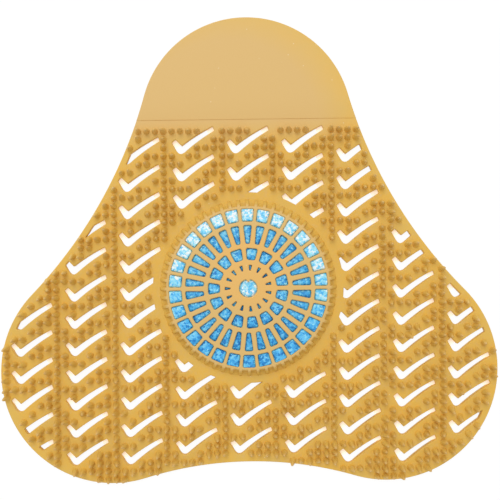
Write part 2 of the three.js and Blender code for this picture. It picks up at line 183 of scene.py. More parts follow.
class FinishColours(bpy.types.PropertyGroup):
    """Colours of the finishes."""
    eva: colour_property("EVA", "Gold of the moulded mat", "#E6B74A")
    eva_shade: colour_property("EVA shade", "Deeper gold of the mottling and bristles", "#DEB757")
    # Painted light: the cream stands for the ground's light coming through the feathered ends.
    backlit_cream: colour_property("Thin EVA", "Gold thinned out at the slots' feathered ends", "#FFFAF0")
    # Painted sheen: the tab's paler gold stands for the sheen on its smooth skin, and also gives the
    # painted highlight on the grille's top and the bristles' tips.
    tab: colour_property("Tab", "Paler gold of the smooth tab", "#DDB670")
    # Painted light: the amber is a warm glow painted over the grille's middle.
    amber_light: colour_property("Amber", "Amber tint over the grille's middle", "#EFB65C")
    speck: colour_property("Speck", "Pale flecks in the moulded mat", "#F3DFB6")
    block_deep: colour_property("Block deep", "Darkest granules of the block", "#0F7CC8")
    block_mid: colour_property("Block mid", "Common granules of the block", "#4DBDF8")
    block_light: colour_property("Block light", "Light granules of the block", "#9BE6FC")
    # Painted highlight: the white is glare on the block's upper rim and middle.
    block_glare: colour_property("Block bloom", "White bloom on the block's upper rim", "#F1FBFD")
    cover: colour_property("Cover", "Gold of the back cover", "#C9983F")
    floor: colour_property("Floor", "White of the floor and backdrop", "#FFFFFF")


class ScreenSettings(bpy.types.PropertyGroup):
    """All that a user would change about the deodorizer screen."""
    mat: bpy.props.PointerProperty(type=MatSizes, name="Mat", description="Sheet sizes")
    bristles: bpy.props.PointerProperty(type=BristleSizes, name="Bristles", description="Bristle sizes")
    grille: bpy.props.PointerProperty(type=GrilleSizes, name="Grille", description="Grille sizes")
    colours: bpy.props.PointerProperty(type=FinishColours, name="Colours", description="Finishes")


def add(tree, kind, inputs=None, **settings):
    """Adds a node with its settings, and fills its inputs with values or links."""
    node = tree.nodes.new(kind)
    for name, value in settings.items():
        setattr(node, name, value)
    for key, value in (inputs or {}).items():
        if isinstance(value, bpy.types.NodeSocket):
            tree.links.new(value, node.inputs[key])
        else:
            node.inputs[key].default_value = value
    return node


def per_size(metres):
    """The texture scale at which one cell or wave is that long on Object coordinates."""
    return 1 / metres


def new_material(name):
    """An empty node material with its output."""
    material = bpy.data.materials.new(name)
    material.use_nodes = True
    material.node_tree.nodes.clear()
    output = add(material.node_tree, "ShaderNodeOutputMaterial")
    return material, material.node_tree, output


def moulded_eva(colours):
    """Moulded EVA foam rubber with gold pigment: a soft satin skin with a faint mottling, fine
    tool grain, light scuffs and a few pale flecks, with painted sheen on the tab, painted
    highlights on the raised parts and a painted amber glow over the grille's middle."""
    material, tree, output = new_material("moulded_gold_eva")
    where = add(tree, "ShaderNodeTexCoord").outputs["Object"]
    # The mottling is 9 mm wide, and the tool grain of about 0.2 mm is drawn at 0.5 mm to show.
    mottle = add(tree, "ShaderNodeTexNoise", {
        "Vector": where, "Scale": per_size(9 * MM), "Detail": 4.0, "Roughness": 0.6})
    grain = add(tree, "ShaderNodeTexNoise", {
        "Vector": where, "Scale": per_size(0.5 * MM), "Detail": 3.0, "Roughness": 0.6})
    # One fleck in a cell of 5 mm, about 0.4 mm wide.
    fleck_cell = add(tree, "ShaderNodeTexVoronoi", {
        "Vector": where, "Scale": per_size(5 * MM), "Randomness": 1.0})
    fleck = add(tree, "ShaderNodeMapRange", {
        0: fleck_cell.outputs["Distance"], 1: 0.06, 2: 0.03, 3: 0.0, 4: 0.5})
    shade = add(tree, "ShaderNodeMapRange", {
        0: mottle.outputs["Fac"], 1: 0.35, 2: 0.7, 3: 0.0, 4: 1.0})
    # The bristles are of the deeper gold all over, a tint that sets the colour of the shade on their
    # steep sides, olive rather than orange.
    place = add(tree, "ShaderNodeSeparateXYZ", {0: where})
    bristle_share = add(tree, "ShaderNodeMapRange", {
        0: place.outputs[2], 1: 2.1 * MM, 2: 3 * MM, 3: 0.0, 4: 1.0})
    deeper = add(tree, "ShaderNodeMath", {0: shade.outputs[0], 1: bristle_share.outputs[0]},
                 operation="MAXIMUM")
    base = add(tree, "ShaderNodeMix", {
        0: deeper.outputs[0], 6: colours.eva, 7: colours.eva_shade}, data_type="RGBA")
    # The tab is painted paler, as painted sheen of its smooth skin, and its colour fades out over the
    # mat's first rows.
    tab_share = add(tree, "ShaderNodeMapRange", {
        0: place.outputs[1], 1: 54 * MM, 2: 64 * MM, 3: 0.0, 4: 1.0})
    # Its gold deepens again towards its top and right edge.
    from_middle = add(tree, "ShaderNodeVectorMath", {
        0: where, 1: (-7 * MM, 60 * MM, 2 * MM)}, operation="DISTANCE")
    edge_share = add(tree, "ShaderNodeMapRange", {
        0: from_middle.outputs["Value"], 1: 35 * MM, 2: 47 * MM, 3: 1.0, 4: 0.35})
    inner_share = add(tree, "ShaderNodeMath", {0: tab_share.outputs[0], 1: edge_share.outputs[0]},
                      operation="MULTIPLY")
    # Painted highlight: the grille's top and the bristles' tips are painted pale, standing for the
    # light that catches raised parts.
    painted_highlight_share = add(tree, "ShaderNodeMapRange", {
        0: place.outputs[2], 1: 4.6 * MM, 2: 6.3 * MM, 3: 0.0, 4: 0.9})
    # Light scuffs of about 1.3 mm lie all over the mat.
    patches = add(tree, "ShaderNodeTexNoise", {
        "Vector": where, "Scale": per_size(1.3 * MM), "Detail": 2.0, "Roughness": 0.5})
    scuff = add(tree, "ShaderNodeMapRange", {
        0: patches.outputs["Fac"], 1: 0.52, 2: 0.72, 3: 0.0, 4: 0.45})
    # The painted highlight and the real scuffs, whichever is paler.
    highlight_and_scuffs = add(tree, "ShaderNodeMath", {0: painted_highlight_share.outputs[0], 1: scuff.outputs[0]},
               operation="MAXIMUM")
    pale = add(tree, "ShaderNodeMath", {0: inner_share.outputs[0], 1: highlight_and_scuffs.outputs[0]},
               operation="MAXIMUM")
    zoned = add(tree, "ShaderNodeMix", {
        0: pale.outputs[0], 6: base.outputs[2], 7: colours.tab}, data_type="RGBA")
    # Painted warm light: an amber pool lies 7 mm off the grille's middle, towards the tab, on the
    # crown's side that faces the light, and fades out from 11 to 17 mm.
    from_tint = add(tree, "ShaderNodeVectorMath", {
        0: where, 1: (1 * MM, 7 * MM, 7 * MM)}, operation="DISTANCE")
    tint = add(tree, "ShaderNodeMapRange", {
        0: from_tint.outputs["Value"], 1: 11 * MM, 2: 17 * MM, 3: 0.55, 4: 0.0})
    tinted = add(tree, "ShaderNodeMix", {
        0: tint.outputs[0], 6: zoned.outputs[2], 7: colours.amber_light}, data_type="RGBA")
    speckled = add(tree, "ShaderNodeMix", {
        0: fleck.outputs[0], 6: tinted.outputs[2], 7: colours.speck}, data_type="RGBA")
    bump = add(tree, "ShaderNodeBump", {
        "Height": grain.outputs["Fac"], "Strength": 0.25, "Distance": 0.06 * MM})
    rough = add(tree, "ShaderNodeMapRange", {
        0: grain.outputs["Fac"], 1: 0.3, 2: 0.7, 3: 0.48, 4: 0.6})
    shader = add(tree, "ShaderNodeBsdfPrincipled", {
        "Base Color": speckled.outputs[2], "Roughness": rough.outputs[0], "Normal": bump.outputs[0],
        "IOR": 1.48})
    tree.links.new(shader.outputs[0], output.inputs[0])
    return material


def feathered_eva(colours):
    """The same EVA where it runs out to a feather edge, with painted light there: the gold fades to a
    bright cream that glows, standing for light from the ground coming through the thin edge."""
    material, tree, output = new_material("feathered_gold_eva")
    place = add(tree, "ShaderNodeSeparateXYZ", {
        0: add(tree, "ShaderNodeTexCoord").outputs["Object"]})
    thick = add(tree, "ShaderNodeMapRange", {
        0: place.outputs[2], 1: 0.1 * MM, 2: 2 * MM, 3: 0.0, 4: 1.0})
    # Painted glow: the thinner the edge, the brighter it shines.
    painted_glow = add(tree, "ShaderNodeMapRange", {0: thick.outputs[0], 3: 0.45, 4: 0.08})
    base = add(tree, "ShaderNodeMix", {
        0: thick.outputs[0], 6: colours.backlit_cream, 7: colours.eva}, data_type="RGBA")
    shader = add(tree, "ShaderNodeBsdfPrincipled", {
        "Base Color": base.outputs[2], "Roughness": 0.55, "IOR": 1.48,
        "Emission Color": colours.backlit_cream, "Emission Strength": painted_glow.outputs[0]})
    tree.links.new(shader.outputs[0], output.inputs[0])
    return material


def pressed_block(colours, granule):
    """Pressed scented granules: crystals of many blues with a wet gleam, with painted glare along
    the block's upper rim and in its middle, and painted shade on its lower side."""
    material, tree, output = new_material("pressed_scented_granules")
    where = add(tree, "ShaderNodeTexCoord").outputs["Object"]
    warp = add(tree, "ShaderNodeTexNoise", {
        "Vector": where, "Scale": per_size(0.6 * granule), "Detail": 3.0})
    bent = add(tree, "ShaderNodeVectorMath", {0: warp.outputs["Color"], 1: (granule,) * 3},
               operation="MULTIPLY")
    warped = add(tree, "ShaderNodeVectorMath", {0: where, 1: bent.outputs[0]}, operation="ADD")
    cells = add(tree, "ShaderNodeTexVoronoi", {
        "Vector": warped.outputs[0], "Scale": per_size(granule)})
    crystal = add(tree, "ShaderNodeSeparateColor", {0: cells.outputs["Color"]})
    cloud = add(tree, "ShaderNodeTexNoise", {
        "Vector": where, "Scale": per_size(3 * MM), "Detail": 3.0})
    # Painted glare fades in from 23 to 27 mm off the axis, and from below to above the middle, on the
    # rim that faces the light.
    place = add(tree, "ShaderNodeSeparateXYZ", {0: where})
    flat = add(tree, "ShaderNodeCombineXYZ", {0: place.outputs[0], 1: place.outputs[1]})
    radius = add(tree, "ShaderNodeVectorMath", {0: flat.outputs[0]}, operation="LENGTH")
    rim = add(tree, "ShaderNodeMapRange", {
        0: radius.outputs["Value"], 1: 23 * MM, 2: 27 * MM, 3: 0.0, 4: 1.0})
    # Painted highlight: the upper side, which faces the light, takes the most glare.
    upper = add(tree, "ShaderNodeMapRange", {
        0: place.outputs[1], 1: -16 * MM, 2: 12 * MM, 3: 0.04, 4: 0.36})
    # Painted shade: the lower side, away from the light, is darkened.
    lower = add(tree, "ShaderNodeMapRange", {
        0: place.outputs[1], 1: -28 * MM, 2: 4 * MM, 3: -0.14, 4: 0.0})
    # Painted highlight in the middle, under the centre hole.
    middle = add(tree, "ShaderNodeMapRange", {
        0: radius.outputs["Value"], 1: 3 * MM, 2: 6 * MM, 3: 0.3, 4: 0.0})
    rim_glare = add(tree, "ShaderNodeMath", {0: rim.outputs[0], 1: upper.outputs[0]},
                    operation="MULTIPLY")
    both_glares = add(tree, "ShaderNodeMath", {0: rim_glare.outputs[0], 1: middle.outputs[0]},
               operation="ADD")
    glare_and_shade = add(tree, "ShaderNodeMath", {0: both_glares.outputs[0], 1: lower.outputs[0]},
                operation="ADD")
    mixed = add(tree, "ShaderNodeMath", {0: crystal.outputs[0], 1: 0.5, 2: glare_and_shade.outputs[0]},
                operation="MULTIPLY_ADD")
    tone = add(tree, "ShaderNodeMath", {0: cloud.outputs["Fac"], 1: 0.5, 2: mixed.outputs[0]},
               operation="MULTIPLY_ADD")
    ramp = add(tree, "ShaderNodeValToRGB", {0: tone.outputs[0]})
    stops = ((0.2, colours.block_deep), (0.5, colours.block_mid),
             (0.8, colours.block_light), (1.0, colours.block_glare))
    for index, (position, colour) in enumerate(stops):
        if index < 2:
            stop = ramp.color_ramp.elements[index]
            stop.position = position
        else:
            stop = ramp.color_ramp.elements.new(position)
        stop.color = colour
    bump = add(tree, "ShaderNodeBump", {
        "Height": cells.outputs["Distance"], "Strength": 0.5, "Distance": 0.15 * MM},
        invert=True)
    shader = add(tree, "ShaderNodeBsdfPrincipled", {
        "Base Color": ramp.outputs[0], "Roughness": 0.3, "Normal": bump.outputs[0], "IOR": 1.5,
        "Subsurface Weight": 0.15, "Subsurface Scale": 1.5 * MM,
        "Subsurface Radius": (0.3, 0.7, 1.0)})
    tree.links.new(shader.outputs[0], output.inputs[0])
    return material


def moulded_cover(colours):
    """Moulded polypropylene with gold pigment: stiffer and a little glossier than the mat."""
    material, tree, output = new_material("moulded_gold_polypropylene")
    where = add(tree, "ShaderNodeTexCoord").outputs["Object"]
    # Tool grain of about 0.15 mm, drawn at 0.4 mm to show.
    grain = add(tree, "ShaderNodeTexNoise", {
        "Vector": where, "Scale": per_size(0.4 * MM), "Detail": 2.0})
    bump = add(tree, "ShaderNodeBump", {
        "Height": grain.outputs["Fac"], "Strength": 0.2, "Distance": 0.04 * MM})
    shader = add(tree, "ShaderNodeBsdfPrincipled", {
        "Base Color": colours.cover, "Roughness": 0.42, "IOR": 1.49, "Normal": bump.outputs[0]})
    tree.links.new(shader.outputs[0], output.inputs[0])
    return material


def white_floor(colours):
    """A white paper sweep: the camera sees it white, and it still takes the mat's soft shadow."""
    material, tree, output = new_material("white_paper")
    rays = add(tree, "ShaderNodeLightPath")
    seen = add(tree, "ShaderNodeMath", {
        0: rays.outputs["Is Camera Ray"], 1: rays.outputs["Is Glossy Ray"]}, operation="MAXIMUM")
    also = add(tree, "ShaderNodeMath", {
        0: seen.outputs[0], 1: rays.outputs["Is Transmission Ray"]}, operation="MAXIMUM")
    share = add(tree, "ShaderNodeMath", {0: also.outputs[0], 1: 0.9}, operation="MULTIPLY")
    paper = add(tree, "ShaderNodeBsdfDiffuse", {"Color": colours.floor})
    white = add(tree, "ShaderNodeEmission", {"Color": colours.floor, "Strength": 1.02})
    mix = add(tree, "ShaderNodeMixShader", {
        0: share.outputs[0], 1: paper.outputs[0], 2: white.outputs[0]})
    tree.links.new(mix.outputs[0], output.inputs[0])
    return material


def arc(centre, radius, start, end, step=OUTLINE_STEP):
    """Points along an arc, without its last one."""
    count = max(2, math.ceil(abs(end - start) * radius / step))
    angles = [start + (end - start) * i / count for i in range(count)]
    return [centre + radius * Vector((math.cos(a), math.sin(a))) for a in angles]


def turned(radius, across, angle):
    """A point at that radius and offset across it, turned by an angle from +X."""
    return Matrix.Rotation(angle, 2) @ Vector((radius, across))


def mirrored(point):
    """The same place on the other side of the mat's middle line."""
    return Vector((-point.x, point.y))


def mat_outline(inset=0.0):
    """The mat's outline moved inwards, counter-clockwise from the tab's right side."""
    span = LOBE_CENTRE - TAB_CENTRE
    to_tab = TAB_RADIUS + FLANK_RADIUS
    to_lobe = LOBE_RADIUS + FLANK_RADIUS
    along = (to_tab ** 2 - to_lobe ** 2 + span.length_squared) / (2 * span.length)
    across = math.sqrt(to_tab ** 2 - along ** 2)
    unit = span.normalized()
    flank = TAB_CENTRE + unit * along + Vector((-unit.y, unit.x)) * across
    drop = math.sqrt((LOBE_RADIUS + FOOT_RADIUS) ** 2 - LOBE_CENTRE.x ** 2)
    foot = Vector((0, LOBE_CENTRE.y - drop))
    tab_end = math.atan2(flank.y - TAB_CENTRE.y, flank.x - TAB_CENTRE.x)
    lobe_end = math.atan2(flank.y - LOBE_CENTRE.y, flank.x - LOBE_CENTRE.x)
    foot_end = math.atan2(foot.y - LOBE_CENTRE.y, foot.x - LOBE_CENTRE.x)
    lobe_radius = LOBE_RADIUS - inset
    flank_radius = FLANK_RADIUS + inset
    return [
        *arc(TAB_CENTRE, TAB_RADIUS - inset, tab_end, math.pi - tab_end),
        *arc(mirrored(flank), flank_radius, -tab_end, -lobe_end),
        *arc(mirrored(LOBE_CENTRE), lobe_radius, math.pi - lobe_end, math.pi - foot_end),
        *arc(foot, FOOT_RADIUS + inset, -foot_end, math.pi + foot_end),
        *arc(LOBE_CENTRE, lobe_radius, foot_end, lobe_end),
        *arc(flank, flank_radius, math.pi + lobe_end, math.pi + tab_end),
    ]


def curve_points(start, control, end, count):
    """Points on a quadratic curve, both ends included."""
    shares = [i / count for i in range(count + 1)]
    return [start * (1 - t) ** 2 + control * 2 * t * (1 - t) + end * t * t for t in shares]


def bowed(start, end, rise, count):
    """Points on a shallow bow that rises to the left of its direction."""
    along = end - start
    control = (start + end) / 2 + Vector((-along.y, along.x)).normalized() * rise * 2
    return curve_points(start, control, end, count)


def rounded(loop, radius, sharp=math.radians(25)):
    """The loop with each sharp corner replaced by a short curve."""
    points = []
    for i, corner in enumerate(loop):
        before, after = loop[i - 1], loop[(i + 1) % len(loop)]
        turn = (corner - before).angle(after - corner, 0)
        if turn < sharp:
            points.append(corner)
            continue
        cut = radius * math.tan(turn / 2)
        back = min(cut, (before - corner).length * 0.45)
        ahead = min(cut, (after - corner).length * 0.45)
        start = corner + (before - corner).normalized() * back
        end = corner + (after - corner).normalized() * ahead
        points.extend(curve_points(start, corner, end, 4))
    return points


def tick_outline():
    """One tick, counter-clockwise, with a round foot, a bowed long arm and softened tips."""
    foot = curve_points(*TICK_FOOT, 8)
    lower = bowed(TICK_FOOT[2], TICK_LONG_TIP[0], TICK_BOW, 8)
    upper = bowed(TICK_LONG_TIP[1], TICK_CROTCH, -TICK_BOW, 8)
    loop = [TICK_SHORT_TIP[0], *foot, *lower[1:], *upper, TICK_SHORT_TIP[1]]
    return rounded(loop, SLOT_CORNER)


def area(loop):
    """Signed area of a loop, positive when it runs counter-clockwise."""
    pairs = zip(loop, loop[1:] + loop[:1])
    return sum(a.x * b.y - b.x * a.y for a, b in pairs) / 2


def contains(loop, point):
    """Whether a point lies inside a loop."""
    inside = False
    for a, b in zip(loop, loop[1:] + loop[:1]):
        if (a.y > point.y) != (b.y > point.y):
            if point.x < a.x + (b.x - a.x) * (point.y - a.y) / (b.y - a.y):
                inside = not inside
    return inside


def distance(loop, point):
    """The shortest way from a point to a loop."""
    nearest = math.inf
    for a, b in zip(loop, loop[1:] + loop[:1]):
        side = b - a
        share = max(0.0, min(1.0, (point - a).dot(side) / max(side.length_squared, 1e-18)))
        nearest = min(nearest, (a + side * share - point).length)
    return nearest


def with_crossings(loop, heights):
    """The loop with a point added wherever it crosses one of the heights."""
    points = []
    for a, b in zip(loop, loop[1:] + loop[:1]):
        points.append(a)
        shares = [(y - a.y) / (b.y - a.y) for y in heights if (a.y < y) != (b.y < y)]
        points.extend(a.lerp(b, share) for share in sorted(shares))
    return points


def triangulated(loops, keep, creases=()):
    """Fills loops and open creases with triangles, of which keep(centre) picks those to use."""
    points, edges = [], []
    for loop in loops:
        first = len(points)
        points.extend(loop)
        edges.extend((first + i, first + (i + 1) % len(loop)) for i in range(len(loop)))
    for start, end in creases:
        edges.append((len(points), len(points) + 1))
        points.extend((start, end))
    filled = delaunay_2d_cdt(points, edges, [], 0, 1e-8)
    corners, faces, origins = filled[0], filled[2], filled[3]
    used = []
    for face in faces:
        centre = sum((corners[i] for i in face), Vector((0, 0))) / 3
        if keep(centre):
            used.append(tuple(face))
    return corners, used, origins


def boundary_loops(corners, faces):
    """The closed outlines of a set of counter-clockwise triangles."""
    ahead = {}
    for face in faces:
        for i in range(3):
            ahead[(face[i], face[(i + 1) % 3])] = True
    following = {a: b for a, b in ahead if (b, a) not in ahead}
    loops = []
    while following:
        start, at = following.popitem()
        loop = [start]
        while at != start:
            loop.append(at)
            at = following.pop(at)
        loops.append([corners[i].copy() for i in loop])
    return loops


def clipped(loop, field, hub):
    """The parts of a slot that lie inside the field and outside the grille's hub."""
    if all(p.length > SLOT_FIELD_RADIUS and contains(field, p) for p in loop):
        return [loop]
    keep = lambda p: contains(loop, p) and contains(field, p) and p.length > SLOT_FIELD_RADIUS
    corners, faces, _ = triangulated([loop, field, hub], keep)
    parts = [p for p in boundary_loops(corners, faces) if area(p) >= SLOT_SMALLEST_AREA]
    return [rounded(p, SLOT_CORNER, math.radians(40)) for p in parts]


def slot_places():
    """Where the foot of each tick lies, whether its slot is whole or not."""
    places = []
    # The columns and rows reach past the mat, and what lies outside it is clipped away later.
    for column in range(-5, 6):
        first = MIDDLE_SLOT_ROW_Y if abs(column) <= 1 else SLOT_ROW_Y
        for row in range(-6, 12):
            at = Vector((SLOT_COLUMN_X + column * SLOT_PITCH.x, first + row * SLOT_PITCH.y))
            if at.y >= SLOT_LOWEST_FOOT and at.y + TICK_LONG_TIP[1].y <= SLOT_FIELD_TOP:
                places.append(at)
    return places


def slot_loops():
    """Every drain slot, clipped to the mat's border and the grille."""
    tick = tick_outline()
    field = mat_outline(SLOT_BORDER)
    hub = arc(Vector((0, 0)), SLOT_FIELD_RADIUS, 0, math.tau)
    return [part for at in slot_places() for part in clipped([p + at for p in tick], field, hub)]


def feather_mesh(length, start):
    """Wedges that run the sheet out to nothing at the tip of each slot arm, where that tip lies in the
    slot field.
    """
    field = mat_outline(SLOT_BORDER)
    mesh = bmesh.new()
    for at in slot_places():
        for tip, root in ((TICK_SHORT_TIP, TICK_FOOT[0]), (TICK_LONG_TIP, TICK_CROTCH)):
            left, right = tip[0] + at, tip[1] + at
            middle = (left + right) / 2
            if not contains(field, middle) or middle.length < SLOT_FIELD_RADIUS:
                continue
            across = (right - left).normalized()
            along = Vector((-across.y, across.x))
            if along.dot(root + at - middle) < 0:
                along = -along
            half = (right - left).length / 2 + 0.2 * MM
            # Distance from the slot's end and height, from behind the edge to the feather edge.
            profile = ((-0.35 * MM, start), (0, 0.9 * start), (0.35 * length, 0.6 * start),
                       (0.7 * length, 0.28 * start), (length, 0.02 * MM))
            rings = []
            for reach, height in profile:
                centre = middle + along * reach
                sides = (centre - across * half, centre + across * half)
                rings.append([mesh.verts.new((p.x, p.y, z)) for p in sides
                              for z in (0.0, height)])
            for a, b in zip(rings, rings[1:]):
                for i, j in ((0, 1), (1, 3), (3, 2), (2, 0)):
                    mesh.faces.new((a[i], a[j], b[j], b[i]))
            mesh.faces.new([rings[0][i] for i in (0, 2, 3, 1)])
            mesh.faces.new([rings[-1][i] for i in (0, 1, 3, 2)])
    bmesh.ops.recalc_face_normals(mesh, faces=mesh.faces)
    return finished_mesh("slot_feathers", mesh)


def offset(loop, distance_in):
    """The loop moved to its left, with long corners held back."""
    moved = []
    for i, point in enumerate(loop):
        into = (point - loop[i - 1]).normalized()
        out = (loop[(i + 1) % len(loop)] - point).normalized()
        normal = Vector((-into.y - out.y, into.x + out.x))
        if normal.length < 1e-6:
            normal = Vector((-into.y, into.x))
        normal.normalize()
        stretch = 1 / max(0.5, normal.dot(Vector((-into.y, into.x))))
        moved.append(point + normal * distance_in * stretch)
    return moved


def plate_mesh(name, outer, holes, bottom, top, edge, under_edge, lift=None, creases=(), plain=(),
               rim_edge=None):
    """A plate with holes and rounded edges. Loops in plain keep square edges, lift(x, y) says how
    far its points rise above the flat, and rim_edge is the outer edge's own rounding."""
    lift = lift or (lambda x, y: 0.0)
    rim_edge = rim_edge or edge
    loops = [outer if area(outer) > 0 else outer[::-1]]
    loops += [h if area(h) < 0 else h[::-1] for h in holes]
    square = [any(h is p for p in plain) for h in [outer, *holes]]
    quarter = [math.radians(a) for a in (0, 30, 60, 90)]
    mesh = bmesh.new()
    upper_rims, lower_rims = [], []
    for loop, is_square in zip(loops, square):
        top_edge = 0 if is_square else (rim_edge if loop is loops[0] else edge)
        low_edge = 0 if is_square else under_edge
        rings = [(low_edge * (1 - math.cos(a)), bottom + low_edge * (1 - math.sin(a)), False)
                 for a in reversed(quarter)]
        rings += [(top_edge * (1 - math.cos(a)), top - top_edge * (1 - math.sin(a)), True)
                  for a in quarter]
        # One more ring keeps the shading of the flat clear of the rounding.
        rings.append((top_edge + 0.1 * MM, top, True))
        if is_square:
            rings = [rings[0], rings[-1]]
        previous = None
        for inward, height, is_upper in rings:
            moved = offset(loop, inward) if inward else loop
            ring = [mesh.verts.new((p.x, p.y, height + lift(p.x, p.y))) for p in moved]
            if previous:
                for i in range(len(ring)):
                    j = (i + 1) % len(ring)
                    mesh.faces.new((previous[i], previous[j], ring[j], ring[i]))
            else:
                lower_rims.append((moved, ring))
            previous = ring
        upper_rims.append((moved, previous))
    for rims, height, is_top in ((upper_rims, top, True), (lower_rims, bottom, False)):
        flat = [loop for loop, _ in rims]
        known = [vertex for _, ring in rims for vertex in ring]
        keep = lambda p: contains(flat[0], p) and not any(
            near(h, p) and contains(h, p) for h in flat[1:])
        corners, faces, origins = triangulated(flat, keep, creases if is_top else ())
        match = []
        for corner, sources in zip(corners, origins):
            source = next((s for s in sources if s < len(known)), None)
            if source is None:
                match.append(mesh.verts.new((*corner, height + lift(*corner))))
            else:
                match.append(known[source])
        for face in faces:
            vertices = [match[i] for i in face]
            if len(set(vertices)) == 3:
                mesh.faces.new(vertices if is_top else vertices[::-1])
    loose = [v for v in mesh.verts if not v.link_faces]
    bmesh.ops.delete(mesh, geom=loose, context="VERTS")
    return finished_mesh(name, mesh)


def near(loop, point):
    """Whether a point lies in the loop's box."""
    xs = [p.x for p in loop]
    ys = [p.y for p in loop]
    return min(xs) <= point.x <= max(xs) and min(ys) <= point.y <= max(ys)


def finished_mesh(name, mesh, smooth_angle=math.radians(42)):
    """Turns a bmesh into a mesh that is smooth except at sharp edges."""
    data = bpy.data.meshes.new(name)
    mesh.to_mesh(data)
    mesh.free()
    data.shade_smooth()
    data.set_sharp_from_angle(angle=smooth_angle)
    return data


def lathe(mesh, profile, segments=GRILLE_SEGMENTS):
    """Adds a round body from a closed half section of radius and height, outside first, up."""
    rings = []
    for radius, height in profile:
        if radius < 1e-9:
            rings.append([mesh.verts.new((0, 0, height))])
        else:
            turns = [math.tau * i / segments for i in range(segments)]
            rings.append([mesh.verts.new((radius * math.cos(t), radius * math.sin(t), height))
                          for t in turns])
    for lower, upper in zip(rings, rings[1:] + rings[:1]):
        if len(lower) == 1 and len(upper) == 1:
            continue
        for i in range(segments):
            j = (i + 1) % segments
            corners = [lower[i % len(lower)], lower[j % len(lower)],
                       upper[j % len(upper)], upper[i % len(upper)]]
            mesh.faces.new(list(dict.fromkeys(corners)))


def shown(name, data, material, slot, *nodes):
    """Links a piece with its material, hangs it on the body and hides the parts that it replaces."""
    data.materials.clear()
    data.materials.append(material)
    piece = bpy.data.objects.new(name, data)
    bpy.context.scene.collection.objects.link(piece)
    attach(piece, BODY)
    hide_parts(*nodes)
    return piece


def applied(source, tree, values):
    """Runs a node tree on an object, with its inputs set by socket identifier, and gives the mesh
    that comes out. The source object is removed."""
    modifier = source.modifiers.new("repeat", "NODES")
    modifier.node_group = tree
    identifiers = {item.name: item.identifier for item in tree.interface.items_tree
                   if item.item_type == "SOCKET" and item.in_out == "INPUT"}
    for name, value in values.items():
        modifier[identifiers[name]] = value
    graph = bpy.context.evaluated_depsgraph_get()
    graph.update()
    data = bpy.data.meshes.new_from_object(source.evaluated_get(graph), depsgraph=graph)
    source.modifiers.remove(modifier)
    bpy.data.objects.remove(source)
    return data


def new_tree(name, inputs):
    """A geometry node tree with named inputs, its input node and its output node."""
    tree = bpy.data.node_groups.new(name, "GeometryNodeTree")
    tree.interface.new_socket("Geometry", in_out="INPUT", socket_type="NodeSocketGeometry")
    for label, kind in inputs:
        tree.interface.new_socket(label, in_out="INPUT", socket_type=kind)
    tree.interface.new_socket("Geometry", in_out="OUTPUT", socket_type="NodeSocketGeometry")
    return tree, add(tree, "NodeGroupInput"), add(tree, "NodeGroupOutput")


